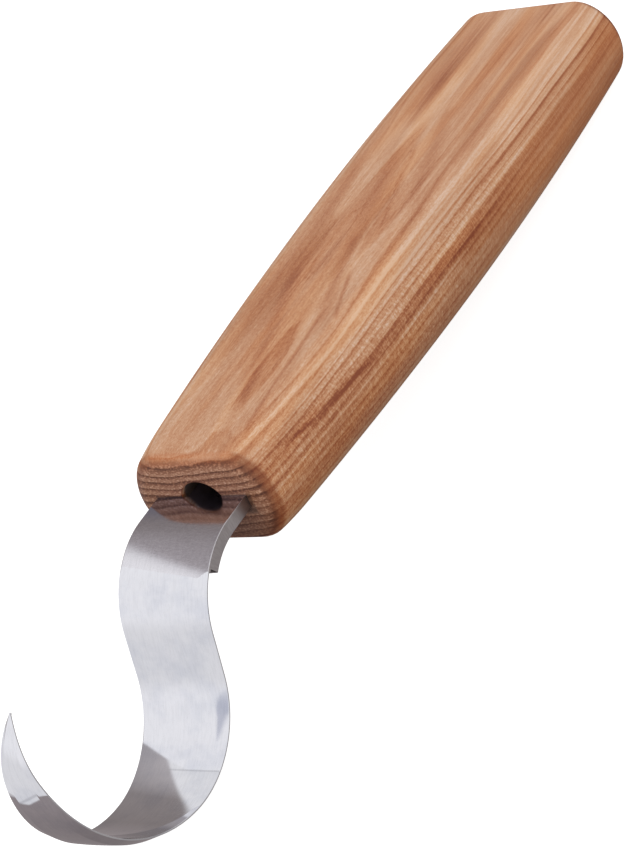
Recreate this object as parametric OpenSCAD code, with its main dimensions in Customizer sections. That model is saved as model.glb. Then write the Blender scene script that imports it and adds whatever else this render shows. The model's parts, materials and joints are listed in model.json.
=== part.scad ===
// Hook knife for carving spoons and bowls.
// A bent, double-edged strip of steel whose narrow tang is glued into a bored hardwood handle.
//
// Two frames are used. The knife frame has +X forward along the handle's centre line, from the
// middle of its front end face, +Y across the blade and +Z away from the hook. Every part is drawn
// in that frame. at_rest() then tilts the knife onto a table at z = 0, standing on the bottom of
// the hook and the lower rim of the butt, with the middle of its length over the origin.

/* [Part] */
// Piece to draw, or all of them

/* [Handle] */
// Length from the front end face to the butt
handle_len = 112; // [95:1:130]
// Width at the front end face
front_w = 23.2; // [21:0.1:26]
// Greatest width, at the belly
belly_w = 30.8; // [28:0.1:35]
// Width at the butt
butt_w = 27.8; // [24:0.1:28]
// Place of the belly, as a share of the length from the front
belly_at = 0.61; // [0.45:0.01:0.75]
// Thickness between the flat broad faces
handle_t = 15.6; // [14:0.1:18]
// Thickness at the front end face
front_t = 14.3; // [12:0.1:14.3]
// Thickness at the butt
butt_t = 14.2; // [12:0.1:14.3]
// Length over which the broad faces fall away to the front
front_ease = 8.4; // [4:0.1:20]
// Length over which the broad faces fall away to the butt
butt_ease = 58; // [20:1:60]
// Reach of the rounded sides into the broad faces
side_round = 5.7; // [3:0.1:8]
// Radius on the rim of the front end face
front_round = 2; // [0.5:0.1:4]
// Radius on the rim of the butt
butt_round = 2.4; // [0.5:0.1:4]

/* [Tang and bore] */
// Diameter of the bore in the handle
bore_d = 7; // [6:0.1:9]
// Width of the tang
tang_w = 5; // [3:0.1:5.4]
// Thickness of the tang
tang_t = 2; // [1.2:0.1:2]
// Length of the tang inside the handle
tang_len = 58; // [40:1:60]
// Gap between the end of the tang and the bottom of the bore
end_gap = 4; // [1:0.5:8]
// Distance from the mouth of the bore to the glue
glue_setback = 6; // [1:0.5:15]

/* [Blade section] */
// Width of the strip at the handle
blade_w = 15.4; // [12:0.1:17]
// Thickness of the strip in the shank
blade_t = 2.3; // [2.1:0.1:3]
// Thickness of the strip once it is ground
ground_t = 1.4; // [1.1:0.1:1.8]
// Thickness left at the point
point_t = 0.6; // [0.4:0.1:1]
// Width left at the point
point_w = 0.6; // [0.4:0.1:1.5]
// Thickness left along the cutting edges
edge_t = 0.2; // [0.1:0.05:0.4]
// Width of each ground bevel, as a share of the blade's width
bevel_share = 0.2; // [0.1:0.01:0.3]
// Length over which the grind runs out into the shank
grind_run = 0.5; // [0.4:0.1:3]
// How late the width starts to taper: a higher power keeps it broad for longer
taper_power = 3.4; // [2:0.1:5]
// How full the outline is near the point: a lower power is blunter
point_power = 0.87; // [0.5:0.01:1.2]

/* [Blade bends] */
// Straight length in front of the handle
neck_len = 5.1; // [3:0.1:12]
// Radius of the bend that turns the strip down
neck_r = 13.1; // [9:0.1:18]
// Turn of that bend while the strip is still a square-edged shank
shank_deg = 34.5; // [28:0.5:38]
// Turn of that bend after the grind starts
neck_deg = 39; // [34:0.5:42]
// Straight length between the neck and the hook
drop_len = 6.1; // [2:0.1:12]
// Radius of the tight bend at the heel of the hook
heel_r = 14.1; // [10:0.1:18]
// Turn of the heel bend
heel_deg = 80.5; // [78:0.5:88]
// Radius of the open sweep of the hook
sweep_r = 20; // [15:0.1:26]
// Turn of the open sweep
sweep_deg = 86; // [84:1:105]
// Radius of the last curl before the point
curl_r = 11.1; // [6:0.1:14]
// Turn of the last curl
curl_deg = 48.5; // [20:0.5:60]

/* [Hidden] */

// Facets round each rounded side of the handle, and round each end radius
side_steps = 18;
rim_steps = 6;
// Sections along the front ease of the handle, and along the rest of it
ease_steps = 4;
body_steps = 20;
// Turn of the strip between two sections, and the sections in a straight stretch or the grind run
bend_step_deg = 4;
straight_steps = 2;
grind_steps = 3;
// Largest share of the handle's half width that a rounded side may take
round_limit = 0.9;
// Chamfer along the outer corners of the shank
shank_chamfer = 0.3;
// Length of tang buried in the strip, so that the two are one piece
tang_overlap = 1.5;
$fn = 64;

bore_depth = tang_len + end_gap;

// Each bend is [radius, turn in degrees], and each straight stretch is [length, 0].
grind_deg = grind_run / neck_r * 180 / PI;
bends = [
    [neck_len, 0],
    [neck_r, -shank_deg],
    [neck_r, -grind_deg],
    [neck_r, grind_deg - neck_deg],
    [drop_len, 0],
    [heel_r, heel_deg],
    [sweep_r, sweep_deg],
    [curl_r, curl_deg],
];
GRIND = 2;
HEEL = 5;
SWEEP = 6;

// A pose is [x, z, heading in degrees, distance run] of the strip's inner face.
function advance(pose, bend, share) =
    bend[1] == 0
        ? let (run = share * bend[0])
          [pose[0] + run * cos(pose[2]), pose[1] + run * sin(pose[2]), pose[2], pose[3] + run]
        : let (
              turn = share * bend[1],
              chord = 2 * bend[0] * sin(abs(turn) / 2),
              aim = pose[2] + turn / 2
          )
          [
              pose[0] + chord * cos(aim),
              pose[1] + chord * sin(aim),
              pose[2] + turn,
              pose[3] + bend[0] * abs(turn) * PI / 180,
          ];

function start_of(i) =
    i == 0
        ? [0, blade_t / 2, 0, 0]
        : advance(start_of(i - 1), bends[i - 1], 1);

function steps_in(i) =
    i == GRIND
        ? grind_steps
        : bends[i][1] == 0 ? straight_steps : ceil(abs(bends[i][1]) / bend_step_deg);

// Centre of an upward bend, in the knife frame's XZ plane
function centre_of(i) =
    let (pose = start_of(i))
    [pose[0] - bends[i][0] * sin(pose[2]), pose[1] + bends[i][0] * cos(pose[2])];

strip_end = start_of(len(bends));
strip_len = strip_end[3];
grind_from = start_of(GRIND)[3];
sweep_from = start_of(SWEEP)[3];

// Tilt that brings the heel of the hook and the butt's lower rim down to one level
heel_c = centre_of(HEEL);
sweep_c = centre_of(SWEEP);
rim_x = butt_round - handle_len;
rim_z = butt_t / 2 - butt_round;
rest_dx = heel_c[0] - rim_x;
rest_dz = heel_c[1] + rim_z;
rest_rise = heel_r + ground_t - butt_round;
rest_tilt = asin(rest_rise / norm([rest_dx, rest_dz])) - atan2(rest_dz, rest_dx);
floor_z = heel_c[0] * sin(rest_tilt) + heel_c[1] * cos(rest_tilt) - heel_r - ground_t;
front_run = sweep_from + sweep_r * (90 - rest_tilt - start_of(SWEEP)[2]) * PI / 180;
front_x = sweep_c[0] * cos(rest_tilt) - sweep_c[1] * sin(rest_tilt) + sweep_r + strip_t(front_run);
back_x = rim_x * cos(rest_tilt) - rim_z * sin(rest_tilt) - butt_round;
mid_x = (front_x + back_x) / 2;

function clamp01(v) = max(0, min(1, v));

// Half the handle's width and thickness at distance d behind its front end face
function plan_half(d) =
    let (
        to_belly = belly_at * handle_len - d,
        span = to_belly > 0 ? belly_at * handle_len : (1 - belly_at) * handle_len,
        end_w = to_belly > 0 ? front_w : butt_w
    )
    (belly_w - (belly_w - end_w) * pow(to_belly / span, 2)) / 2;

function side_half(d) =
    (handle_t
        - (handle_t - front_t) * pow(clamp01(1 - d / front_ease), 2)
        - (handle_t - butt_t) * pow(clamp01(1 - (handle_len - d) / butt_ease), 2)) / 2;

// Handle sections from front to butt, each [distance behind the front, inset from the outline]
body_to = handle_len - butt_round;
handle_cuts = concat(
    [for (i = [0:rim_steps]) let (a = 90 * i / rim_steps)
        [front_round * (1 - cos(a)), front_round * (1 - sin(a))]],
    [for (i = [1:ease_steps]) [front_round + (front_ease - front_round) * i / ease_steps, 0]],
    [for (i = [1:body_steps - 1]) [front_ease + (body_to - front_ease) * i / body_steps, 0]],
    [for (i = [0:rim_steps]) let (a = 90 * i / rim_steps)
        [body_to + butt_round * sin(a), butt_round * (1 - cos(a))]]
);

// Section of the handle: two flats joined by half-ellipses
function handle_ring(cut) =
    let (
        half_w = plan_half(cut[0]) - cut[1],
        half_t = side_half(cut[0]) - cut[1],
        reach = min(side_round, round_limit * half_w)
    )
    [for (side = [1, -1]) for (i = [0:side_steps])
        let (a = 180 * i / side_steps - 90 * side)
        [-cut[0], side * (half_w - reach) + reach * cos(a), half_t * sin(a)]];

// Half the strip's width, how far it is ground and its thickness, at distance s from the handle
function strip_half(s) =
    max(point_w, blade_w * pow(clamp01(1 - pow(s / strip_len, taper_power)), point_power)) / 2;

function ground(s) = clamp01((s - grind_from) / grind_run);

function strip_t(s) =
    blade_t
        - (blade_t - ground_t) * ground(s)
        - (ground_t - point_t) * clamp01((s - sweep_from) / (strip_len - sweep_from));

// Section of the strip as [across, depth below the inner face]: a square-edged bar in the shank,
// then a flat-backed blade with a bevel along each edge
function strip_section(s) =
    let (
        half_w = strip_half(s),
        t = strip_t(s),
        g = ground(s),
        side_t = (1 - g) * (t - shank_chamfer) + g * edge_t,
        back = (1 - g) * (half_w - shank_chamfer) + g * half_w * (1 - 2 * bevel_share)
    )
    [[-half_w, 0], [half_w, 0], [half_w, side_t], [back, t], [-back, t], [-half_w, side_t]];

function strip_ring(pose) =
    [for (q = strip_section(pose[3]))
        [pose[0] + q[1] * sin(pose[2]), q[0], pose[1] - q[1] * cos(pose[2])]];

strip_poses = concat(
    [for (i = [0:len(bends) - 1]) for (k = [0:steps_in(i) - 1])
        advance(start_of(i), bends[i], k / steps_in(i))],
    [strip_end]
);

// Closed skin over a row of sections that all have the same number of points
module skin(rings) {
    n = len(rings[0]);
    last = (len(rings) - 1) * n;
    polyhedron(
        points = [for (ring = rings) each ring],
        faces = concat(
            [[for (j = [n - 1:-1:0]) j]],
            [for (i = [0:len(rings) - 2]) for (j = [0:n - 1])
                [i * n + j, i * n + (j + 1) % n, (i + 1) * n + (j + 1) % n, (i + 1) * n + j]],
            [[for (j = [0:n - 1]) last + j]]
        ),
        convexity = 6
    );
}

// Stands the knife on a table, hook down
module at_rest() {
    translate([-mid_x, 0, -floor_z])
        rotate([0, -rest_tilt, 0])
            children();
}

module bore(from, to) {
    translate([-to, 0, 0])
        rotate([0, 90, 0])
            cylinder(d = bore_d, h = to - from);
}

module tang(to = 0) {
    translate([-tang_len, -tang_w / 2, -tang_t / 2])
        cube([tang_len + to, tang_w, tang_t]);
}

module handle() {
    color([0.78, 0.59, 0.42])
        at_rest()
            difference() {
                skin([for (cut = handle_cuts) handle_ring(cut)]);
                bore(-1, bore_depth);
            }
}

module blade() {
    color([0.76, 0.77, 0.79])
        at_rest()
            union() {
                skin([for (pose = strip_poses) strip_ring(pose)]);
                tang(tang_overlap);
            }
}

module tang_adhesive() {
    color([0.86, 0.8, 0.62])
        at_rest()
            difference() {
                bore(glue_setback, bore_depth);
                tang();
            }
}

handle();
blade();
tang_adhesive();
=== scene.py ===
"""Hook knife on a pale studio floor: a bent, double-edged strip of polished steel with its tang
glued into a bored, belly-shaped ash handle. The shapes follow the same laws as the CAD part, at a
finer step, and are drawn in the knife frame: +X forward along the handle's centre line from the
middle of its front end face, +Y across the blade, +Z away from the hook, in millimetres."""
import bpy
import json
import math
from mathutils import Matrix, Vector


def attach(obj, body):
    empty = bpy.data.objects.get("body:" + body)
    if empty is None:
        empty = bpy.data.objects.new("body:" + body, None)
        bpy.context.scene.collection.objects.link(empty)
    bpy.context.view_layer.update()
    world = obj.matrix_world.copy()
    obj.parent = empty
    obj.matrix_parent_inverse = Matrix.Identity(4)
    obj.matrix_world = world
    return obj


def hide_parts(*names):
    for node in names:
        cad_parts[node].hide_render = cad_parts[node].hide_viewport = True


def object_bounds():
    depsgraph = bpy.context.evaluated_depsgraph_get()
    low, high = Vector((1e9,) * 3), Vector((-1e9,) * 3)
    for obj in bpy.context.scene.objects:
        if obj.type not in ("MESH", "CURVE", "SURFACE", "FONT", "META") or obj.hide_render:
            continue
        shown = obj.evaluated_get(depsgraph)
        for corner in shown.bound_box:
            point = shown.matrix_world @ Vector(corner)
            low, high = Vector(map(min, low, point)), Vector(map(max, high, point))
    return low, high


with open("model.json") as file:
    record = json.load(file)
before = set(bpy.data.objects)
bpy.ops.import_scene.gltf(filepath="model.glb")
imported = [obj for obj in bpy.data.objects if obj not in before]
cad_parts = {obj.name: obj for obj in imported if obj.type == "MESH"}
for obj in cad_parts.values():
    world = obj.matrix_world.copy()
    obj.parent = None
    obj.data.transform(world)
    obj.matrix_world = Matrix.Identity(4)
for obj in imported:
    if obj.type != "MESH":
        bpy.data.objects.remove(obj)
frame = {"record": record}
cad_low, cad_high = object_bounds()

MM = 0.001

# ---------------------------------------------------------------- sizes, in millimetres
# The belly, at a share of the handle's length, is its widest place. The eases are the lengths over
# which its thickness falls off towards either end
HANDLE_LEN, BELLY_AT = 112.0, 0.61
FRONT_W, BELLY_W, BUTT_W = 23.2, 30.8, 27.8
HANDLE_T, FRONT_T, BUTT_T = 15.6, 14.3, 14.2
FRONT_EASE, BUTT_EASE = 8.4, 58.0
SIDE_ROUND, FRONT_ROUND, BUTT_ROUND = 5.7, 2.0, 2.4
BORE_R, BORE_DEPTH, MOUTH_EASE = 3.5, 62.0, 0.25
TANG_W, TANG_T, TANG_LEN = 5.0, 2.0, 58.0
GLUE_SETBACK, GLUE_CREEP, GLUE_GAP = 6.0, 0.8, 0.02
BLADE_W, BLADE_T, GROUND_T, POINT_T, POINT_W, EDGE_T = 15.4, 2.3, 1.4, 0.3, 0.3, 0.2
# Each bevel's share of the width, the length in which the grind sets in, and the taper's two powers
BEVEL_SHARE, GRIND_RUN, TAPER_POWER, POINT_POWER = 0.2, 0.5, 3.4, 0.87
SHANK_CHAMFER, TANG_CHAMFER, TANG_SOFT = 0.3, 0.3, 0.1
SHANK_SOFT, EDGE_SOFT, HEEL_SOFT, OUTER_BELLY = 0.1, 0.02, 0.1, 0.15
# A bent strip also curves a little across its width, the other way from its bend
NECK_HOLLOW, HOOK_CROWN = 0.12, 0.28
NECK_R = 13.1
SHANK_DEG, NECK_DEG = 34.5, 39.0
# Each bend of the strip's inner face is (radius, turn in degrees), each straight is (length, 0)
BENDS = [(5.1, 0), (NECK_R, -SHANK_DEG), (NECK_R, -NECK_DEG), (6.1, 0),
         (14.1, 80.5), (20.0, 86.0), (11.1, 48.5)]
# Places in BENDS at which the ground blade, the straight under the neck, the hook and its upward
# sweep start
GRIND_BEND, STRAIGHT_BEND, HOOK_BEND, SWEEP_BEND = 2, 3, 4, 5

# ---------------------------------------------------------------- knife frame to row frame
# The mount on the handle's broad face is 35 mm behind the front end face
MOUNT_AT = Vector((-35.0, 0.0, HANDLE_T / 2))
mount = next(m for m in frame["record"]["mounts"] if m["name"] == "handle_flat")
axis = Vector(mount["axis"])
TILT = math.atan2(-axis.x, axis.z)
TURN = Matrix.Rotation(-TILT, 4, "Y")
ORIGIN = Vector(mount["pos_m"]) - TURN @ (MOUNT_AT * MM)
TO_ROW = Matrix.Translation(ORIGIN) @ TURN @ Matrix.Scale(MM, 4)


def clamp01(v):
    return max(0.0, min(1.0, v))


def smooth(v, lo, hi):
    t = clamp01((v - lo) / (hi - lo))
    return t * t * (3 - 2 * t)


# ---------------------------------------------------------------- mesh helpers
# Edges that turn by more degrees than this stay sharp
HANDLE_SHARP, BLADE_SHARP, GLUE_SHARP = 50.0, 32.0, 50.0


def skin(name, rings, material, sharp_deg, attrs=None):
    """Closed skin over a row of equally long rings of points in the knife frame."""
    n = len(rings[0])
    verts = [TO_ROW @ Vector(p) for ring in rings for p in ring]
    last = (len(rings) - 1) * n
    faces = [tuple(range(n)), tuple(last + j for j in range(n - 1, -1, -1))]
    for i in range(len(rings) - 1):
        a, b = i * n, (i + 1) * n
        faces += [(a + j, b + j, b + (j + 1) % n, a + (j + 1) % n) for j in range(n)]
    mesh = bpy.data.meshes.new(name)
    mesh.from_pydata(verts, [], faces)
    mesh.validate()
    mesh.polygons.foreach_set("use_smooth", [True] * len(mesh.polygons))
    obj = bpy.data.objects.new(name, mesh)
    bpy.context.scene.collection.objects.link(obj)
    grain = mesh.attributes.new("knife_mm", "FLOAT_VECTOR", "POINT")
    grain.data.foreach_set("vector", [c for ring in rings for p in ring for c in p])
    for key, values in (attrs or {}).items():
        layer = mesh.attributes.new(key, "FLOAT", "POINT")
        layer.data.foreach_set("value", values)
    mesh.set_sharp_from_angle(angle=math.radians(sharp_deg))
    mesh.materials.append(material)
    return obj


# ---------------------------------------------------------------- handle
def plan_half(d):
    """Half the handle's width: a parabola on either side of the belly."""
    to_belly = BELLY_AT * HANDLE_LEN - d
    span = BELLY_AT * HANDLE_LEN if to_belly > 0 else (1 - BELLY_AT) * HANDLE_LEN
    end_w = FRONT_W if to_belly > 0 else BUTT_W
    return (BELLY_W - (BELLY_W - end_w) * (to_belly / span) ** 2) / 2


def side_half(d):
    """Half the handle's thickness, which eases down towards both ends."""
    front = clamp01(1 - d / FRONT_EASE) ** 2
    butt = clamp01(1 - (HANDLE_LEN - d) / BUTT_EASE) ** 2
    return (HANDLE_T - (HANDLE_T - FRONT_T) * front - (HANDLE_T - BUTT_T) * butt) / 2


SIDE_STEPS, FLAT_STEPS, RIM_STEPS, EASE_STEPS, BODY_STEPS = 28, 10, 10, 8, 64
FACE_STEPS, MOUTH_STEPS, BORE_STEPS = 8, 4, 12


def handle_ring(d, inset):
    """Outline of the handle at a distance behind its front end face, moved in by the inset."""
    half_t = side_half(d) - inset
    core = plan_half(d) - inset - SIDE_ROUND
    ring = []
    for side in (1, -1):
        for i in range(SIDE_STEPS + 1):
            a = math.pi * i / SIDE_STEPS - math.pi / 2 * side
            ring.append((-d, side * core + SIDE_ROUND * math.cos(a), half_t * math.sin(a)))
        for i in range(1, FLAT_STEPS):
            share = i / FLAT_STEPS
            ring.append((-d, side * core * (1 - 2 * share), side * half_t))
    return ring


def circle_like(ring, x, radius):
    """Circle in the plane at x whose points lie in the same directions as the ring's."""
    out = []
    for _, y, z in ring:
        length = math.hypot(y, z)
        out.append((x, radius * y / length, radius * z / length))
    return out


def quarter_turn(steps):
    """Angles in equal steps from 0 to a right angle."""
    return [math.pi / 2 * i / steps for i in range(steps + 1)]


def blend_rings(a, b, share):
    """Ring that lies a share of the way from one ring to another."""
    return [tuple(p + (q - p) * share for p, q in zip(u, v)) for u, v in zip(a, b)]


def build_handle(material):
    """One closed skin: up the bore from its bottom, over the front face, and back to the butt."""
    rings = []
    for a in quarter_turn(RIM_STEPS):
        rings.append(handle_ring(FRONT_ROUND * (1 - math.cos(a)), FRONT_ROUND * (1 - math.sin(a))))
    face = rings[0]
    for i in range(1, EASE_STEPS + 1):
        rings.append(handle_ring(FRONT_ROUND + (FRONT_EASE - FRONT_ROUND) * i / EASE_STEPS, 0))
    body_to = HANDLE_LEN - BUTT_ROUND
    for i in range(1, BODY_STEPS):
        rings.append(handle_ring(FRONT_EASE + (body_to - FRONT_EASE) * i / BODY_STEPS, 0))
    for a in quarter_turn(RIM_STEPS):
        rings.append(handle_ring(body_to + BUTT_ROUND * math.sin(a), BUTT_ROUND * (1 - math.cos(a))))
    # rings across the butt's flat face close in on its middle, so that it shades evenly
    butt = rings[-1]
    centre = [(p[0], 0.0, 0.0) for p in butt]
    rings += [blend_rings(butt, centre, i / FACE_STEPS) for i in range(1, FACE_STEPS)]
    # front face, softened mouth and bored hole, which come before the outside
    mouth = circle_like(face, 0.0, BORE_R + MOUTH_EASE)
    front = [blend_rings(face, mouth, i / FACE_STEPS) for i in range(1, FACE_STEPS + 1)]
    for a in quarter_turn(MOUTH_STEPS)[1:]:
        ease_x, ease_r = MOUTH_EASE * (1 - math.cos(a)), MOUTH_EASE * (1 - math.sin(a))
        front.append(circle_like(face, -ease_x, BORE_R + ease_r))
    for i in range(1, BORE_STEPS + 1):
        x = -MOUTH_EASE - (BORE_DEPTH - MOUTH_EASE) * i / BORE_STEPS
        front.append(circle_like(face, x, BORE_R))
    return skin("Handle", front[::-1] + rings, material, HANDLE_SHARP)


# ---------------------------------------------------------------- blade
def advance(pose, bend, share):
    """Pose (x, z, heading, run) after a share of one bend or straight of the inner face."""
    x, z, heading, run = pose
    if bend[1] == 0:
        step = share * bend[0]
        a = math.radians(heading)
        return (x + step * math.cos(a), z + step * math.sin(a), heading, run + step)
    turn = share * bend[1]
    chord = 2 * bend[0] * math.sin(math.radians(abs(turn)) / 2)
    aim = math.radians(heading + turn / 2)
    return (x + chord * math.cos(aim), z + chord * math.sin(aim), heading + turn,
            run + bend[0] * math.radians(abs(turn)))


def strip_starts():
    """Pose at the start of each bend, and at the point."""
    poses = [(0.0, BLADE_T / 2, 0.0, 0.0)]
    for bend in BENDS:
        poses.append(advance(poses[-1], bend, 1))
    return poses


STARTS = strip_starts()
STRIP_LEN = STARTS[-1][3]
GRIND_FROM = STARTS[GRIND_BEND][3]
NECK_TO = STARTS[STRAIGHT_BEND][3]
HOOK_FROM = STARTS[HOOK_BEND][3]
SWEEP_FROM = STARTS[SWEEP_BEND][3]


def pose_at(s):
    """Pose of the inner face at a distance along the strip from the front end face."""
    for i, bend in enumerate(BENDS):
        if s <= STARTS[i + 1][3] or i == len(BENDS) - 1:
            length = STARTS[i + 1][3] - STARTS[i][3]
            return advance(STARTS[i], bend, (s - STARTS[i][3]) / length)


def strip_half(s):
    """Half the strip's width, which runs out along a curve to the point."""
    share = clamp01(1 - (s / STRIP_LEN) ** TAPER_POWER)
    return max(POINT_W, BLADE_W * share ** POINT_POWER) / 2


def ground(s):
    """0 on the bar of the shank and 1 on the ground blade."""
    return clamp01((s - GRIND_FROM) / GRIND_RUN)


def strip_t(s):
    """Thickness of the strip: full in the shank, less where it is ground, and thin at the point."""
    thin = clamp01((s - SWEEP_FROM) / (STRIP_LEN - SWEEP_FROM))
    return BLADE_T - (BLADE_T - GROUND_T) * ground(s) - (GROUND_T - POINT_T) * thin


# Narrow strips beside the rounded corners keep the broad sides shading flat up to their edges
HOLD = 0.006
CORNER_STEPS, BROAD_STEPS = 3, 16
# A rounding takes at most this share of a side
CUT_LIMIT = 0.45
# Corners at which the inner and the outer broad side of a section start
BROAD_SIDES = (0, 3)


def side_point(corner, other, radius):
    """Where the rounding of a corner ends, on the side that leads to another corner."""
    (cx, cy), (ox, oy) = corner, other
    length = math.hypot(ox - cx, oy - cy)
    cut = min(radius, CUT_LIMIT * length) / length
    return cx + (ox - cx) * cut, cy + (oy - cy) * cut


def fillet(corners, radii):
    """Rounds each corner of a section, and cuts its two broad sides into equal steps."""
    out = []
    for i, (cx, cy) in enumerate(corners):
        following = (i + 1) % len(corners)
        ax, ay = side_point(corners[i], corners[i - 1], radii[i])
        bx, by = side_point(corners[i], corners[following], radii[i])
        for k in range(CORNER_STEPS + 1):
            t = k / CORNER_STEPS
            u, v, w = (1 - t) ** 2, 2 * t * (1 - t), t * t
            out.append((u * ax + v * cx + w * bx, u * ay + v * cy + w * by))
        if i in BROAD_SIDES:
            ex, ey = side_point(corners[following], corners[i], radii[following])
            for t in [HOLD] + [k / BROAD_STEPS for k in range(1, BROAD_STEPS)] + [1 - HOLD]:
                out.append((bx + (ex - bx) * t, by + (ey - by) * t))
    return out


# Points deeper than this share of the section's depth lie on its outer side
OUTER_FROM = 0.6


def strip_section(s):
    """Section of the strip as (across, depth below the inner face) points."""
    half_w, t, g = strip_half(s), strip_t(s), ground(s)
    side_t = (1 - g) * (t - SHANK_CHAMFER) + g * EDGE_T
    back = (1 - g) * (half_w - SHANK_CHAMFER) + g * half_w * (1 - 2 * BEVEL_SHARE)
    belly = OUTER_BELLY * g * half_w * 2 / BLADE_W
    ridge = t - belly
    corners = [(-half_w, 0), (half_w, 0), (half_w, side_t),
               (back, ridge), (-back, ridge), (-half_w, side_t)]
    inner = (1 - g) * SHANK_SOFT + g * EDGE_SOFT
    outer = (1 - g) * SHANK_SOFT / 2 + g * EDGE_SOFT
    spine = (1 - g) * SHANK_SOFT / 2 + g * HEEL_SOFT

    def crowned(y, q):
        on_back = q > OUTER_FROM * ridge and abs(y) < back
        return (y, q + belly * (1 - (y / back) ** 2)) if on_back else (y, q)

    return [crowned(y, q) for y, q in fillet(corners, [inner, inner, outer, spine, spine, outer])]


def crown(s):
    """Rise of the strip's middle over its edges: below them in the neck, above them in the hook, and
    less so in the upward sweep and where the strip narrows."""
    neck = smooth(s, 1.0, GRIND_FROM - 4) * smooth(s, HOOK_FROM, NECK_TO - 4)
    relaxed = 0.6 * smooth(s, HOOK_FROM + 9, SWEEP_FROM + 4)
    hook = smooth(s, HOOK_FROM - 3, HOOK_FROM + 6) * (1 - relaxed)
    return (HOOK_CROWN * hook - NECK_HOLLOW * neck) * (2 * strip_half(s) / BLADE_W) ** 2


def place_section(section, pose):
    """Points of a section in the knife frame, bowed across its width ahead of the handle."""
    x, z, heading, run = pose
    a = math.radians(heading)
    half_w = max(abs(y) for y, _ in section)
    lift = crown(run) if run > 0 else 0.0
    bowed = [(y, q - lift * (1 - (y / half_w) ** 2)) for y, q in section]
    return [(x + q * math.sin(a), y, z - q * math.cos(a)) for y, q in bowed]


def tang_section():
    """Section of the tang, centred in the strip's thickness."""
    top = BLADE_T / 2 - TANG_T / 2
    low, half, c = top + TANG_T, TANG_W / 2, TANG_CHAMFER
    corners = [(-half, top), (half, top), (half, low - c), (half - c, low), (-half + c, low),
               (-half, low - c)]
    return fillet(corners, [TANG_SOFT] * 6)


STATION_STEP, GRIND_STATIONS = 0.4, 6
# Extra stations just ahead of the handle and just short of the point
NEAR_START, NEAR_POINT = (0.02, 0.04), (0.25, 0.12, 0.05)
# Stations along the tang, closer together at its two ends
TANG_STATIONS = (-TANG_LEN, -TANG_LEN + 0.1, -TANG_LEN / 2, -0.4, 0.0)
# The point closes on small copies of its section, each (distance ahead, size)
POINT_CAPS = ((0.04, 0.85), (0.07, 0.5))
# How strongly the broad sides rule the shading of their rounded edges, from 1 to 100
NORMAL_WEIGHT = 80


def blade_stations():
    """Distances along the strip at which its section is drawn, ahead of the handle."""
    stations = list(NEAR_START)
    s = STATION_STEP / 2
    while s < STRIP_LEN:
        stations.append(s)
        s += STATION_STEP
    stations += [GRIND_FROM + GRIND_RUN * i / GRIND_STATIONS for i in range(GRIND_STATIONS + 1)]
    stations += [STRIP_LEN - back for back in NEAR_POINT]
    return sorted(stations)


def build_blade(material):
    """One closed skin from the end of the tang to the point, with what its finish needs to know."""
    rings, runs, depths = [], [], []

    def add_ring(section, pose, run):
        rings.append(place_section(section, pose))
        runs.append(run)
        depths.extend(q for _, q in section)

    tang = tang_section()
    for x in TANG_STATIONS:
        add_ring(tang, (x, BLADE_T / 2, 0.0, 0.0), x)
    for s in [0.0] + blade_stations():
        add_ring(strip_section(s), pose_at(s), s)
    x, z, heading, run = pose_at(STRIP_LEN)
    a = math.radians(heading)
    end = strip_section(STRIP_LEN)
    mid_q = sum(q for _, q in end) / len(end)
    for ahead, share in POINT_CAPS:
        small = [(y * share, mid_q + (q - mid_q) * share) for y, q in end]
        pose = (x + ahead * math.cos(a), z + ahead * math.sin(a), heading, run)
        add_ring(small, pose, run + ahead)
    n = len(rings[0])
    attrs = {
        "run_mm": [r for r in runs for _ in range(n)],
        "ground": [ground(r) for r in runs for _ in range(n)],
        "depth_mm": depths,
    }
    blade = skin("Blade", rings, material, BLADE_SHARP, attrs)
    weighted = blade.modifiers.new("EvenNormals", "WEIGHTED_NORMAL")
    weighted.keep_sharp = True
    weighted.weight = NORMAL_WEIGHT
    return blade


# ---------------------------------------------------------------- glue
GLUE_SIDES, MENISCUS_STEPS, MENISCUS_SAG, TINY = 64, 8, 0.2, 1e-6


def build_glue(material):
    """Cured glue round the tang, with a meniscus where it creeps up the wood and the steel."""
    turns = [2 * math.pi * i / GLUE_SIDES for i in range(GLUE_SIDES)]
    radius = BORE_R - GLUE_GAP
    half, top = TANG_W / 2 + GLUE_GAP, TANG_T / 2 + GLUE_GAP

    def circle(x):
        return [(x, radius * math.cos(a), radius * math.sin(a)) for a in turns]

    def slot(x):
        out = []
        for a in turns:
            reach = min(half / max(TINY, abs(math.cos(a))), top / max(TINY, abs(math.sin(a))))
            out.append((x, reach * math.cos(a), reach * math.sin(a)))
        return out

    front = -GLUE_SETBACK + GLUE_CREEP
    rings = [slot(x) for x in (-TANG_LEN - GLUE_GAP, -TANG_LEN / 2, front)]
    for i in range(1, MENISCUS_STEPS):
        share = i / MENISCUS_STEPS
        dip = -GLUE_SETBACK + GLUE_CREEP * ((2 * share - 1) ** 4 - MENISCUS_SAG)
        rings.append([(dip, y, z) for _, y, z in blend_rings(slot(0), circle(0), share)])
    rings += [circle(x) for x in (front, -BORE_DEPTH / 2, -BORE_DEPTH + GLUE_GAP)]
    return skin("TangGlue", rings, material, GLUE_SHARP)


# ---------------------------------------------------------------- node helpers
# Outputs of an Attribute node, and the colour sockets of a Mix node
ATTR_VECTOR, ATTR_VALUE = 1, 2
MIX_A, MIX_B, MIX_RESULT = 6, 7, 2


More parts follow.
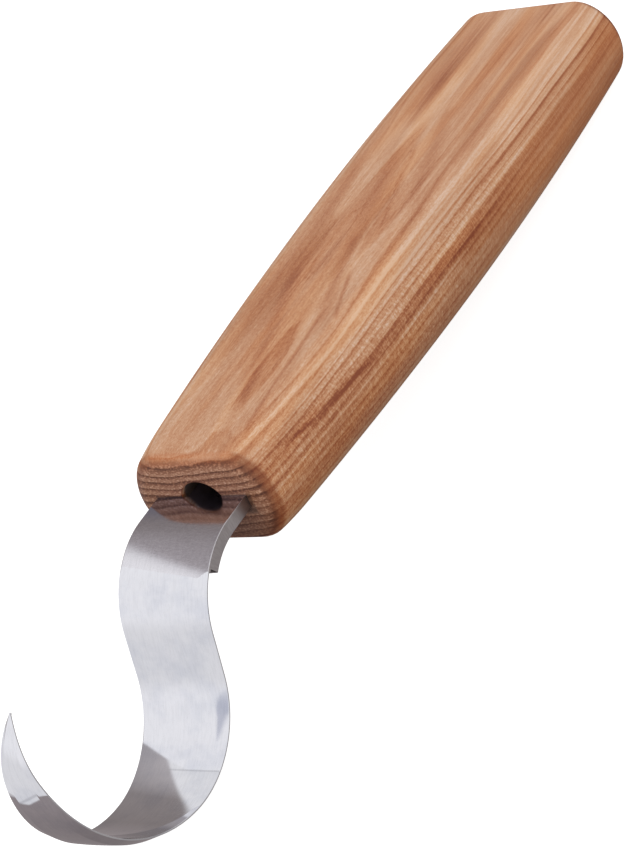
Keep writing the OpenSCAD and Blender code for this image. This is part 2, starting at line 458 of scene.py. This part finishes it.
class Tree:
    """Short spellings for building a node tree."""

    def __init__(self, owner):
        owner.use_nodes = True
        self.nodes, self.links = owner.node_tree.nodes, owner.node_tree.links
        self.nodes.clear()

    def feed(self, socket, value):
        """Links an output to the socket, or sets the socket to a constant."""
        if isinstance(value, bpy.types.NodeSocket):
            self.links.new(value, socket)
        elif value is not None:
            if socket.type == "RGBA" and len(value) == 3:
                value = (*value, 1.0)
            socket.default_value = value

    def add(self, kind, out=0, props=None, **inputs):
        """Adds a node with its inputs by name, and gives one of its outputs."""
        node = self.nodes.new(kind)
        for key, value in (props or {}).items():
            setattr(node, key, value)
        for key, value in inputs.items():
            self.feed(node.inputs[key.replace("_", " ")], value)
        return node.outputs[out]

    def attribute(self, name, out):
        return self.add("ShaderNodeAttribute", out=out, props={"attribute_name": name})

    def math(self, op, a, b=None, c=None, clamp=False):
        node = self.nodes.new("ShaderNodeMath")
        node.operation, node.use_clamp = op, clamp
        for socket, value in zip(node.inputs, (a, b, c)):
            self.feed(socket, value)
        return node.outputs[0]

    def plus(self, a, b):
        return self.math("ADD", a, b)

    def minus(self, a, b):
        return self.math("SUBTRACT", a, b)

    def times(self, first, *others):
        for other in others:
            first = self.math("MULTIPLY", first, other)
        return first

    def scaled(self, value, factor, offset):
        return self.math("MULTIPLY_ADD", value, factor, offset)

    def swing(self, value, amount):
        """Moves a noise so that it swings about nought, by the amount from end to end."""
        return self.times(self.minus(value, 0.5), amount)

    def length(self, a, b):
        return self.math("SQRT", self.plus(self.times(a, a), self.times(b, b)))

    def vec(self, op, a, b=None, out=0):
        node = self.nodes.new("ShaderNodeVectorMath")
        node.operation = op
        self.feed(node.inputs[0], a)
        if b is not None:
            self.feed(node.inputs[1], b)
        return node.outputs[out]

    def dot(self, a, b):
        return self.vec("DOT_PRODUCT", a, b, out=1)

    def noise(self, at, stretch=None, scale=1.0, detail=2.0, rough=0.5, seed=0.0):
        if stretch is not None:
            at = self.vec("MULTIPLY", at, stretch)
        return self.add("ShaderNodeTexNoise", props={"noise_dimensions": "4D"}, Vector=at, W=seed,
                        Scale=scale, Detail=detail, Roughness=rough)

    def ramp(self, fac, stops):
        node = self.nodes.new("ShaderNodeValToRGB")
        points = node.color_ramp.elements
        while len(points) < len(stops):
            points.new(0.5)
        for point, (at, colour) in zip(points, stops):
            point.position = at
            point.color = (*colour, 1.0)
        self.feed(node.inputs[0], fac)
        return node.outputs[0]

    def span(self, value, lo, hi, a=0.0, b=1.0, kind="SMOOTHSTEP"):
        """Goes from a, where the value is lo, to b, where it is hi. lo may be the larger one."""
        node = self.nodes.new("ShaderNodeMapRange")
        node.interpolation_type = kind
        for socket, v in zip(node.inputs, (value, lo, hi, a, b)):
            self.feed(socket, v)
        return node.outputs[0]

    def band(self, value, rise, fall):
        """Rises from 0 to 1 over one range of the value and falls back to 0 over another."""
        return self.times(self.span(value, *rise), self.span(value, fall[1], fall[0]))

    def mix(self, fac, a, b, blend="MIX"):
        node = self.nodes.new("ShaderNodeMix")
        node.data_type, node.blend_type = "RGBA", blend
        self.feed(node.inputs[0], fac)
        self.feed(node.inputs[MIX_A], a)
        self.feed(node.inputs[MIX_B], b)
        return node.outputs[MIX_RESULT]

    def tint(self, fac, colour, by):
        return self.mix(fac, colour, by, blend="MULTIPLY")

    def xyz(self, *values):
        node = self.nodes.new("ShaderNodeCombineXYZ")
        for socket, value in zip(node.inputs, values):
            self.feed(socket, value)
        return node.outputs[0]

    def split(self, vector):
        node = self.nodes.new("ShaderNodeSeparateXYZ")
        self.feed(node.inputs[0], vector)
        return node.outputs

    def surface(self, shader):
        out = self.nodes.new("ShaderNodeOutputMaterial")
        self.links.new(shader, out.inputs[0])


def new_material(name, kind=Tree):
    mat = bpy.data.materials.new(name)
    return mat, kind(mat)


# ---------------------------------------------------------------- wood
# The centre of the growth rings lies far above the handle and a little to one side
RING_RADIUS, RING_SIDE, RING_STEP, RING_SLOPE = 90.0, 3.0, 1.15, 0.010
# Share of the dark late wood across one ring
RING_PROFILE = ((0.0, 1.0), (0.12, 0.9), (0.36, 0.42), (0.62, 0.12), (0.88, 0.0), (0.97, 0.5), (1.0, 1.0))
# Colours of the long grain and of the end grain, each from tone 0 to tone 1
WOOD_TONES = ((0.0, (0.25, 0.065, 0.026)), (0.25, (0.38, 0.135, 0.056)), (0.5, (0.51, 0.24, 0.12)),
              (0.72, (0.61, 0.355, 0.215)), (1.0, (0.71, 0.525, 0.41)))
END_TONES = ((0.0, (0.105, 0.036, 0.019)), (0.4, (0.27, 0.115, 0.062)),
             (0.75, (0.46, 0.24, 0.15)), (1.0, (0.66, 0.43, 0.31)))
# A tint multiplies the colour under it
AMBER_TINT, UMBER_TINT, BUTT_TINT = (1.03, 0.94, 0.80), (0.85, 0.77, 0.70), (0.95, 0.82, 0.72)
BROAD_RIM_TINT, SIDE_RIM_TINT = (0.84, 0.61, 0.46), (0.57, 0.40, 0.30)
# Painted shade: the first colour darkens the inside of the bored hole
# Painted shade: the second colour darkens the end grain along the strip
BORE_SHADE_COLOUR, CONTACT_SHADE_COLOUR = (0.10, 0.070, 0.060), (0.035, 0.016, 0.010)
# Painted shade on the end face under the strip
LOW_END_SHADE_TINT = (0.60, 0.55, 0.53)
BASE_TONE, PALEST_TONE = 0.69, 0.95

# Darker tongues and streaks along the grain, on the broad face (placed by y) or on the rounded side
# (placed by z): from (x, place) to (x, place), half width, strength
STREAKS = (("z", (-6.0, 3.8), (-31.5, 1.8), 0.60, 0.36),
           ("z", (-6.0, 3.6), (-75.0, 0.7), 1.50, 0.15),
           ("z", (-48.0, 1.1), (-128.0, 1.0), 2.20, 0.20),
           ("y", (-4.2, 7.6), (-34.8, 5.7), 0.60, 0.26),
           ("y", (-30.0, 8.7), (-42.5, 5.2), 0.60, 0.26),
           ("y", (-78.0, -5.2), (-44.0, 3.4), 2.20, 0.12),
           ("y", (-52.0, 0.6), (-24.0, 8.6), 2.00, 0.17),
           ("y", (-72.0, -9.2), (-36.0, -3.8), 2.20, 0.10),
           ("y", (-44.0, -5.2), (-6.0, 4.6), 2.00, 0.17),
           ("y", (-84.0, 0.6), (-52.0, 8.8), 2.00, 0.15),
           ("y", (-112.0, -7.5), (-76.0, -6.0), 2.40, 0.14))


class WoodTree(Tree):
    """Node tree with the sockets that several parts of the wood read."""

    def __init__(self, owner):
        super().__init__(owner)
        self.pos = self.attribute("knife_mm", ATTR_VECTOR)
        self.x, self.y, self.z = self.split(self.pos)
        self.normal = self.add("ShaderNodeNewGeometry", out=1)
        self.end_on, self.side_on, self.face_on = (self.turned(i) for i in range(3))
        self.steep = self.span(self.face_on, 1.0, 0.75)
        self.on_broad_face = self.span(self.z, 6.0, 7.0)
        self.on_round_side = self.span(self.y, 9.2, 10.2)
        self.fibre = self.noise(self.pos, (0.07, 2.2, 2.2), detail=4.0, rough=0.65, seed=1.3)
        self.thread = self.noise(self.pos, (0.55, 6.0, 6.0), rough=0.6, seed=2.9)
        self.speck = self.noise(self.pos, (2.6, 6.5, 6.5), detail=1.0, seed=9.2)

    def turned(self, i):
        """How squarely the surface faces one axis of the knife frame, from 0 to 1."""
        return self.math("ABSOLUTE", self.dot(self.normal, Vector(TURN.col[i][:3])))


def growth_rings(t):
    """The late wood's share at each point, and broader layers that follow the same sheets."""
    radius = t.length(t.plus(t.y, RING_SIDE), t.minus(RING_RADIUS, t.z))
    slow = t.noise(t.pos, (0.011, 0.11, 0.05), seed=3.1)
    quick = t.noise(t.pos, (0.04, 0.13, 0.08), seed=7.7)
    depth = t.scaled(t.x, RING_SLOPE, radius)
    depth = t.plus(depth, t.swing(slow, t.span(t.x, 0.0, -28.0, 1.4, 4.4)))
    depth = t.plus(depth, t.swing(quick, 0.6))
    depth = t.plus(depth, t.swing(t.fibre, t.span(t.end_on, 0.3, 0.7, 0.34, 0.1)))
    # rings grow thick in some years and thin in others
    years = t.noise(t.xyz(t.times(depth, 0.45), 0.0, 0.0), seed=4.9)
    depth = t.plus(depth, t.swing(years, 1.6))
    phase = t.math("DIVIDE", depth, RING_STEP)
    each = t.add("ShaderNodeTexWhiteNoise", props={"noise_dimensions": "1D"}, W=t.math("FLOOR", phase))
    dark = t.ramp(t.math("FRACT", phase), [(at, (share,) * 3) for at, share in RING_PROFILE])
    late = t.math("MULTIPLY", dark, t.scaled(each, 0.8, 0.4), clamp=True)
    layer_at = t.xyz(t.times(depth, 1.5), t.times(t.x, 0.012), t.times(t.y, 0.05))
    return late, t.noise(layer_at, detail=3.0, rough=0.6, seed=6.6)


def long_grain_tone(t, late, layers):
    """Tone from 0, red-brown, to 1, straw. It is calmer low on the side and towards the butt."""
    mild = t.span(t.x, -45.0, -95.0, 1.0, 0.40)
    side_mild = t.span(t.z, 4.0, 1.0, 1.0, mild)
    layered = t.times(t.scaled(t.steep, 0.15, 1.0), t.span(t.z, 3.0, -3.0, 1.0, 0.42), side_mild)
    lined = t.times(t.scaled(t.steep, 0.07, 0.30), t.span(t.z, 1.5, -3.5, 1.0, 0.6), side_mild)
    tone = t.plus(BASE_TONE, t.times(t.swing(layers, 1.1), layered))
    tone = t.minus(tone, t.times(late, lined))
    # painted highlight where the broad face rounds over, and painted shade low on the side
    rounding = t.band(t.face_on, (0.30, 0.65), (0.86, 0.99))
    tone = t.scaled(rounding, 0.20, tone)
    tone = t.minus(tone, t.span(t.z, 2.5, -4.0, 0.0, 0.22))
    cloud = t.noise(t.pos, (0.025, 0.14, 0.14), detail=3.0, seed=5.5)
    for value, amount in ((t.fibre, 0.50), (cloud, 0.60)):
        tone = t.plus(tone, t.swing(value, amount))
    for value, amount in ((t.thread, 0.45), (t.speck, 0.62)):
        tone = t.scaled(t.swing(value, amount), mild, tone)
    fleck = t.span(t.noise(t.pos, (4.0, 3.2, 1.3), detail=1.0, seed=4.4), 0.40, 0.72)
    fleck = t.times(t.swing(fleck, 0.24), t.span(t.side_on, 0.6, 0.95, 0.0, mild))
    return t.math("MINIMUM", t.plus(tone, fleck), PALEST_TONE)


def streak(t, across, start, end, half_width):
    """One streak with ragged edges, from 0 outside it to about 1 along its middle."""
    (x_a, at_a), (x_b, at_b) = start, end
    place, side = (t.y, t.on_broad_face) if across == "y" else (t.z, t.on_round_side)
    share = t.span(t.x, x_a, x_b, kind="LINEAR")
    off = t.minus(place, t.scaled(share, at_b - at_a, at_a))
    off = t.math("ABSOLUTE", t.plus(off, t.swing(t.fibre, 1.6)))
    ends = t.band(share, (0.0, 0.12), (0.75, 1.0))
    broken = t.span(t.thread, 0.35, 0.55, 0.6, 1.15)
    return t.times(t.span(off, half_width, 0.0), ends, side, broken)


def long_grain_colour(t, tone):
    colour = t.ramp(tone, WOOD_TONES)
    amber = t.noise(t.pos, (0.035, 0.30, 0.30), detail=3.0, seed=8.8)
    umber = t.noise(t.pos, (0.022, 0.22, 0.22), detail=3.0, seed=2.6)
    butt_side = t.times(t.span(t.x, -50.0, -90.0), t.span(t.z, 4.5, 1.5))
    colour = t.tint(t.span(amber, 0.42, 0.66), colour, AMBER_TINT)
    colour = t.tint(t.span(umber, 0.50, 0.68), colour, UMBER_TINT)
    return t.tint(butt_side, colour, BUTT_TINT)


def end_grain_colour(t, late):
    """Dark arcs of late wood with lines of open pores between them."""
    dots = t.span(t.noise(t.pos, (1.0, 2.6, 4.4), detail=1.0, seed=6.1), 0.42, 0.68)
    tone = t.plus(t.times(dots, 0.40), t.swing(t.speck, 0.30))
    tone = t.minus(t.plus(tone, 0.50), t.times(late, 0.55))
    return t.ramp(tone, END_TONES)


def shaded_bore(t, colour):
    """The bored hole is painted dark inside, as painted shade. Its lit wall darkens a little deeper than
    the other.
    """
    off_axis = t.length(t.y, t.z)
    lit_wall = t.span(t.y, -1.4, -3.2)
    deep = t.span(t.x, t.times(lit_wall, -0.25), t.scaled(lit_wall, -0.7, -0.45))
    inside = t.times(t.span(off_axis, BORE_R + 0.5, BORE_R + 0.1), deep,
                     t.span(t.x, -BORE_DEPTH - 2, -BORE_DEPTH - 1))
    return t.mix(inside, colour, BORE_SHADE_COLOUR)


def shaded_front(t, colour, is_end):
    """Painted shade where the strip meets the end grain, set off a little like a cast shadow, and painted
    shade on the end face under the strip.
    """
    beside = t.minus(t.math("ABSOLUTE", t.minus(t.y, 0.3)), BLADE_W / 2)
    above = t.minus(t.math("ABSOLUTE", t.plus(t.z, 0.4)), BLADE_T / 2 + 0.25)
    strip_shade = t.span(t.math("MAXIMUM", beside, above), 0.6, 0.0)
    front_end = t.times(is_end, t.span(t.x, -6.0, -5.0))
    colour = t.mix(t.times(strip_shade, front_end, 0.65), colour, CONTACT_SHADE_COLOUR)
    return t.tint(t.times(t.span(t.z, -0.5, -5.0), front_end), colour, LOW_END_SHADE_TINT)


def ash_wood():
    """Oiled ash. The growth rings are nearly flat sheets across the handle's thickness. They slope
    and wander a little along the handle, so the broad faces cut them into long tongues, the rounded
    sides into fine straight lines and the ends into parallel arcs."""
    mat, t = new_material("OiledAsh", WoodTree)
    late, layers = growth_rings(t)
    tone = long_grain_tone(t, late, layers)
    for across, start, end, half_width, strength in STREAKS:
        tone = t.scaled(streak(t, across, start, end, half_width), -strength, tone)
    is_end = t.span(t.end_on, 0.55, 0.93)
    colour = t.mix(is_end, long_grain_colour(t, tone), end_grain_colour(t, late))
    rim = t.band(t.end_on, (0.10, 0.5), (0.8, 0.995))
    colour = t.tint(rim, colour, t.mix(t.span(t.side_on, 0.10, 0.45), BROAD_RIM_TINT, SIDE_RIM_TINT))
    # painted shade inside the bore, then along the strip on the front end face
    colour = shaded_front(t, shaded_bore(t, colour), is_end)
    rough = t.span(late, 0.0, 1.0, 0.46, 0.60)
    height = t.plus(t.times(t.fibre, 0.5), t.times(t.speck, 0.5))
    bump = t.add("ShaderNodeBump", Strength=0.3, Distance=0.00008, Height=height)
    shader = t.add("ShaderNodeBsdfPrincipled", Base_Color=colour, Roughness=rough, Normal=bump,
                   Specular_IOR_Level=0.35)
    t.surface(shader)
    return mat


# ---------------------------------------------------------------- steel
BUFFED_PALE, BUFFED_GREY = (0.81, 0.81, 0.83), (0.71, 0.72, 0.76)
BAR_DARK, BAR_PALE = (0.61, 0.59, 0.62), (0.70, 0.68, 0.71)
# The colours by the wood, here and on the next line, are painted shade where the shank meets the handle
BAR_SHADE_BY_WOOD, BAR_BY_LINE = (0.43, 0.45, 0.58), (0.80, 0.79, 0.81)
FILED_DARK, FILED_PALE, FILED_SHADE_BY_WOOD = (0.54, 0.51, 0.51), (0.63, 0.60, 0.60), (0.30, 0.28, 0.29)
HAIR_PALE, HAIR_DARK = (1.02, 1.02, 1.02), (0.965, 0.965, 0.965)
PLUNGE_CORNER_DARK = (0.05, 0.045, 0.045)
# The shank's satin finish leans sideways up to a line that crosses the strip at a slant
SHANK_TWIST, LEAN_SLANT = 0.07, 0.305
# The finish line between bar and blade crosses the strip at a slant, and turns back towards the
# handle at one edge
LINE_SLANT, LINE_FROM, LINE_RAGGED, LINE_TURN = 0.135, 0.36, 0.35, 1.1


class SteelTree(Tree):
    """Node tree with the sockets that several parts of the steel read."""

    def __init__(self, owner):
        super().__init__(owner)
        self.run = self.attribute("run_mm", ATTR_VALUE)
        self.depth = self.attribute("depth_mm", ATTR_VALUE)
        self.worked = self.attribute("ground", ATTR_VALUE)
        _, self.y, _ = self.split(self.attribute("knife_mm", ATTR_VECTOR))
        self.sheet = self.xyz(self.run, self.y, 0.0)
        self.lines = self.noise(self.sheet, (9.0, 0.35, 1.0), detail=3.0, rough=0.6, seed=1.1)
        self.smudge = self.noise(self.sheet, (0.20, 0.15, 1.0), detail=4.0, rough=0.6, seed=8.3)
        self.brushed = self.noise(self.sheet, (4.0, 1.3, 1.0), rough=0.7, seed=1.9)
        self.lean_from = self.minus(self.run, self.times(self.y, LEAN_SLANT))
        self.on_side = self.span(self.math("ABSOLUTE", self.y), BLADE_W / 2 - 0.12, BLADE_W / 2 - 0.02)


def past_finish_line(t):
    """0 on the bar finish of the shank and 1 on the buffed blade."""
    ragged = t.noise(t.sheet, (0.0, 1.6, 1.0), seed=5.1)
    line_at = t.plus(t.scaled(t.y, LINE_SLANT, LINE_FROM), t.times(ragged, LINE_RAGGED))
    line_at = t.minus(line_at, t.span(t.y, 5.6, 7.7, 0.0, LINE_TURN))
    return t.span(t.minus(t.run, line_at), GRIND_FROM - 0.1, GRIND_FROM + 0.1)


def bar_colour(t):
    """Brushed broad sides and filed narrow sides, both darker close to the wood with painted shade."""
    bar = t.mix(t.span(t.brushed, 0.3, 0.7), BAR_DARK, BAR_PALE)
    bar = t.mix(t.span(t.run, 1.5, 6.0), BAR_SHADE_BY_WOOD, bar)
    bar = t.mix(t.span(t.lean_from, 11.0, 13.7), bar, BAR_BY_LINE)
    filed_at = t.xyz(t.times(t.run, 3.6), t.times(t.depth, 0.8), 0.0)
    filed = t.mix(t.span(t.noise(filed_at, seed=4.7), 0.35, 0.65), FILED_DARK, FILED_PALE)
    filed = t.mix(t.span(t.run, 1.0, 4.0), FILED_SHADE_BY_WOOD, filed)
    return t.mix(t.on_side, bar, filed)


def steel_colour(t, is_ground):
    buffed = t.mix(t.span(t.smudge, 0.42, 0.68), BUFFED_PALE, BUFFED_GREY)
    colour = t.mix(is_ground, bar_colour(t), buffed)
    # faint hairlines that run along the strip
    hair = t.noise(t.sheet, (0.5, 3.2, 1.0), detail=3.0, rough=0.7, seed=3.8)
    colour = t.tint(t.span(hair, 0.35, 0.65), colour, HAIR_PALE)
    colour = t.tint(t.span(hair, 0.55, 0.35), colour, HAIR_DARK)
    # darker in the corner of the plunge
    corner = t.times(t.band(t.worked, (0.0, 0.08), (0.9, 1.0)), t.span(t.depth, 0.25, 0.6))
    return t.mix(corner, colour, PLUNGE_CORNER_DARK)


def steel_roughness(t, is_ground):
    bar = t.plus(t.span(t.lines, 0.3, 0.7, 0.0, 0.05), t.span(t.run, 2.0, 9.0, 0.07, 0.18))
    bar = t.add("ShaderNodeMix", Factor=t.on_side, A=bar, B=0.34)
    buffed = t.plus(t.span(t.lines, 0.3, 0.7, 0.03, 0.05), t.span(t.smudge, 0.5, 0.8, 0.0, 0.03))
    return t.add("ShaderNodeMix", Factor=is_ground, A=bar, B=buffed)


def steel_normal(t, is_ground):
    """Fine brushing and ripple, and the sideways lean of the shank's finish."""
    ripple = t.noise(t.sheet, (0.5, 0.12, 1.0), detail=1.0, seed=2.2)
    grooves = t.times(t.brushed, t.span(is_ground, 1.0, 0.0, 0.0, 0.5))
    height = t.plus(t.scaled(t.lines, 0.25, grooves), ripple)
    bump = t.add("ShaderNodeBump", Strength=0.08, Distance=0.00002, Height=height)
    lean = t.times(t.span(t.lean_from, 12.9, 10.3), t.span(is_ground, 1.0, 0.0))
    twist = t.xyz(0.0, t.times(lean, -SHANK_TWIST), 0.0)
    return t.vec("NORMALIZE", t.vec("ADD", bump, twist))


def polished_steel():
    """Bar steel with a fine satin finish in the shank, ground and buffed bright in the blade."""
    mat, t = new_material("PolishedSteel", SteelTree)
    is_ground = past_finish_line(t)
    shader = t.add("ShaderNodeBsdfPrincipled", Metallic=1.0, Base_Color=steel_colour(t, is_ground),
                   Roughness=steel_roughness(t, is_ground), Normal=steel_normal(t, is_ground))
    t.surface(shader)
    return mat


# ---------------------------------------------------------------- glue and floor
GLUE_AMBER, GLUE_PALE, BUBBLE_COLOUR = (0.62, 0.47, 0.20), (0.72, 0.58, 0.30), (0.85, 0.78, 0.55)
FLOOR_DARK, FLOOR_PALE, FLOOR_GLOW = (0.49, 0.49, 0.49), (0.51, 0.51, 0.51), 0.85


def cured_glue():
    """Amber epoxy with a slight haze and a few trapped bubbles."""
    mat, t = new_material("CuredGlue")
    pos = t.attribute("knife_mm", ATTR_VECTOR)
    haze = t.noise(pos, (0.6, 0.6, 0.6), detail=3.0, seed=1.7)
    bubble = t.span(t.noise(pos, (3.0, 3.0, 3.0), detail=0.0, seed=3.3), 0.62, 0.7)
    colour = t.mix(haze, GLUE_AMBER, GLUE_PALE)
    colour = t.mix(t.times(bubble, 0.5), colour, BUBBLE_COLOUR)
    bump = t.add("ShaderNodeBump", Strength=0.3, Distance=0.0001, Height=bubble)
    shader = t.add("ShaderNodeBsdfPrincipled", Base_Color=colour, Roughness=0.18, Normal=bump)
    t.surface(shader)
    return mat


def studio_floor():
    """Pale acrylic that glows a little, as if lit from below, so that shadows on it stay faint."""
    mat, t = new_material("StudioFloor")
    pos = t.add("ShaderNodeNewGeometry", out=0)
    mottle = t.noise(pos, scale=3.0, seed=1.0)
    colour = t.mix(mottle, FLOOR_DARK, FLOOR_PALE)
    shader = t.add("ShaderNodeBsdfPrincipled", Base_Color=colour, Roughness=0.9, Specular_IOR_Level=0.0,
                   Emission_Color=(1, 1, 1), Emission_Strength=FLOOR_GLOW)
    t.surface(shader)
    return mat


# ---------------------------------------------------------------- build
handle = build_handle(ash_wood())
blade = build_blade(polished_steel())
glue = build_glue(cured_glue())
for piece, node, slot in ((handle, "handle", "ash"), (blade, "blade", "blade_steel"),
                          (glue, "tang_adhesive", "epoxy")):
    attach(piece, "root")
    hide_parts(node)

# ---------------------------------------------------------------- stage
FLOOR_REACH = 12.0


def build_floor():
    """Floor that keeps out of the steel's reflections and of the light on the wood."""
    mesh = bpy.data.meshes.new("StudioFloor")
    r = FLOOR_REACH
    mesh.from_pydata([(-r, -r, 0), (r, -r, 0), (r, r, 0), (-r, r, 0)], [], [(0, 1, 2, 3)])
    mesh.materials.append(studio_floor())
    floor = bpy.data.objects.new("StudioFloor", mesh)
    bpy.context.scene.collection.objects.link(floor)
    floor.visible_glossy = False
    floor.visible_diffuse = False


build_floor()

# Each edge of a light is a plane that cuts the sphere of directions: its normal, how far along the
# normal it cuts, and half the width over which it fades
WINDOW_BACK = ((1.0, 0.0, 0.0), -0.15, 0.005)
WINDOW_SLANT = ((0.3413, 0.940, 0.0), -0.6274, 0.006)
WINDOW_FOOT = ((0.0, 0.329, 0.944), -0.743, 0.012)
CEILING_EDGE = ((0.1054, 0.9935, -0.043), -0.6919, 0.005)
SILL_NORMAL = (0.0, -0.666, 0.745)
KEY_LIGHT = ((0.45, 0.75, 0.48), 0.6, 0.35)
FILL_LIGHT = ((-0.25, -0.90, 0.10), 0.55, 0.35)
# The dark of the room from straight down to straight up
ROOM_TONES = ((0.0, (0.18, 0.155, 0.157)), (0.25, (0.32, 0.28, 0.287)), (0.5, (0.245, 0.215, 0.212)),
              (0.75, (0.28, 0.25, 0.25)), (0.9, (0.52, 0.49, 0.51)))
ROOM_SIDE = (0.37, 0.35, 0.35)
CEILING_PALE, CEILING_SEAM = (0.85, 0.85, 0.875), (0.50, 0.50, 0.53)
WINDOW_LOW, WINDOW_HIGH = (0.80, 0.80, 0.83), (0.93, 0.93, 0.965)
GAP_COLOUR, LOUVRE_COLOUR = (0.50, 0.52, 0.62), (0.45, 0.44, 0.47)
BELOW_LIGHT, ABOVE_LIGHT = (0.08, 0.075, 0.075), (0.97, 0.97, 0.97)
KEY_COLOUR, FILL_COLOUR = (1.25, 1.23, 1.20), (0.80, 0.82, 0.88)
BACKDROP = (1.0, 1.0, 1.0)


class SkyTree(Tree):
    """World tree with the direction that a ray leaves in."""

    def __init__(self, owner):
        super().__init__(owner)
        self.direction = self.add("ShaderNodeTexCoord")
        self.x, self.y, self.z = self.split(self.direction)
        self.over_sill = self.dot(self.direction, SILL_NORMAL)

    def beyond(self, plane):
        """1 where the direction lies beyond the plane, 0 behind it, with a soft edge."""
        normal, edge, soft = plane
        value = self.dot(self.direction, Vector(normal).normalized())
        return self.span(value, edge - soft, edge + soft)


def window_outline(t):
    """1 inside the broad white light in front of the knife."""
    side = t.math("MAXIMUM", t.beyond(WINDOW_SLANT), t.span(t.z, 0.4, 0.2))
    sill = t.span(t.over_sill, 0.030, 0.042)
    corner = t.times(t.span(t.x, 0.76, 0.80), t.span(t.z, -0.41, -0.39))
    foot = t.math("MAXIMUM", sill, corner)
    return t.times(t.beyond(WINDOW_BACK), side, t.beyond(WINDOW_FOOT), foot)


def window_colour(t):
    """White, with a thin blue-grey gap high on one side and the shade of a louvre over the sill."""
    white = t.mix(t.span(t.z, 0.0, 0.35), WINDOW_LOW, WINDOW_HIGH)
    bent = t.scaled(t.math("MAXIMUM", t.minus(t.x, 0.6), 0.0), 0.115, t.y)
    slanted = t.scaled(t.minus(t.x, 0.575), -0.07, t.y)
    gap = t.times(t.span(bent, -0.544, -0.539), t.span(slanted, -0.512, -0.528))
    gap = t.times(gap, t.band(t.x, (0.27, 0.33), (0.70, 0.85)), t.span(t.z, 0.1, 0.3))
    white = t.mix(t.times(gap, 0.8), white, GAP_COLOUR)
    louvre = t.times(t.band(t.over_sill, (0.058, 0.066), (0.074, 0.086)), t.span(t.x, 0.76, 0.70))
    return t.mix(t.times(louvre, 0.5), white, LOUVRE_COLOUR)


def dark_room(t):
    """The dark of the room behind the knife, under a pale ceiling with one seam."""
    dark = t.ramp(t.span(t.z, -1.0, 1.0, kind="LINEAR"), ROOM_TONES)
    dark = t.mix(t.span(t.y, 0.1, 0.6), dark, ROOM_SIDE)
    seam = t.band(t.x, (-0.185, -0.170), (-0.160, -0.145))
    pale = t.mix(t.times(seam, 0.5), CEILING_PALE, CEILING_SEAM)
    return t.mix(t.times(t.beyond(CEILING_EDGE), t.span(t.z, 0.17, 0.24)), dark, pale)


def soft_light(t):
    """What lights the wood: a pale room with a warm key light and a cool fill."""
    room = t.mix(t.span(t.z, -0.5, 0.4), BELOW_LIGHT, ABOVE_LIGHT)
    room = t.mix(t.beyond(KEY_LIGHT), room, KEY_COLOUR)
    return t.mix(t.times(t.beyond(FILL_LIGHT), 0.7), room, FILL_COLOUR)


def studio_world():
    """Soft room light on the wood, a drawn studio for the polished steel to mirror, and a white
    backdrop for the camera."""
    world = bpy.data.worlds.new("Studio")
    bpy.context.scene.world = world
    t = SkyTree(world)
    mirrored = t.mix(window_outline(t), dark_room(t), window_colour(t))
    path = t.nodes.new("ShaderNodeLightPath")
    colour = t.mix(path.outputs["Is Glossy Ray"], soft_light(t), mirrored)
    colour = t.mix(path.outputs["Is Camera Ray"], colour, BACKDROP)
    background = t.add("ShaderNodeBackground", Color=colour, Strength=1.0)
    out = t.nodes.new("ShaderNodeOutputWorld")
    t.links.new(background, out.inputs[0])


studio_world()

# ---------------------------------------------------------------- camera
# Angles in degrees, lens and sensor in millimetres, distances in metres
VIEW_AZIMUTH, VIEW_ELEVATION, VIEW_ROLL = 136.75, 33.98, -33.34
VIEW_DISTANCE, VIEW_LENS, SENSOR_WIDTH = 0.5473, 164.8, 36.0
CLIP_NEAR, CLIP_FAR = 0.01, 50.0
AIM_RIGHT, AIM_UP = 0.00095, -0.0071


def build_camera():
    """Camera aimed close to the middle of the CAD box, and rolled so that the knife stands steeply."""
    a, e = math.radians(VIEW_AZIMUTH), math.radians(VIEW_ELEVATION)
    back = Vector((math.sin(a) * math.cos(e), -math.cos(a) * math.cos(e), math.sin(e)))
    level = Vector((0, 0, 1)).cross(back).normalized()
    spin = Matrix.Rotation(math.radians(VIEW_ROLL), 3, back)
    right = spin @ level
    up = back.cross(right)
    data = bpy.data.cameras.new("Camera")
    data.lens, data.sensor_width = VIEW_LENS, SENSOR_WIDTH
    data.clip_start, data.clip_end = CLIP_NEAR, CLIP_FAR
    cam = bpy.data.objects.new("Camera", data)
    bpy.context.scene.collection.objects.link(cam)
    aim = (cad_low + cad_high) / 2 + right * AIM_RIGHT + up * AIM_UP
    place = Matrix((right, up, back)).transposed().to_4x4()
    place.translation = aim + back * VIEW_DISTANCE
    cam.matrix_world = place
    bpy.context.scene.camera = cam


build_camera()
bpy.context.scene.view_settings.view_transform = "Standard"
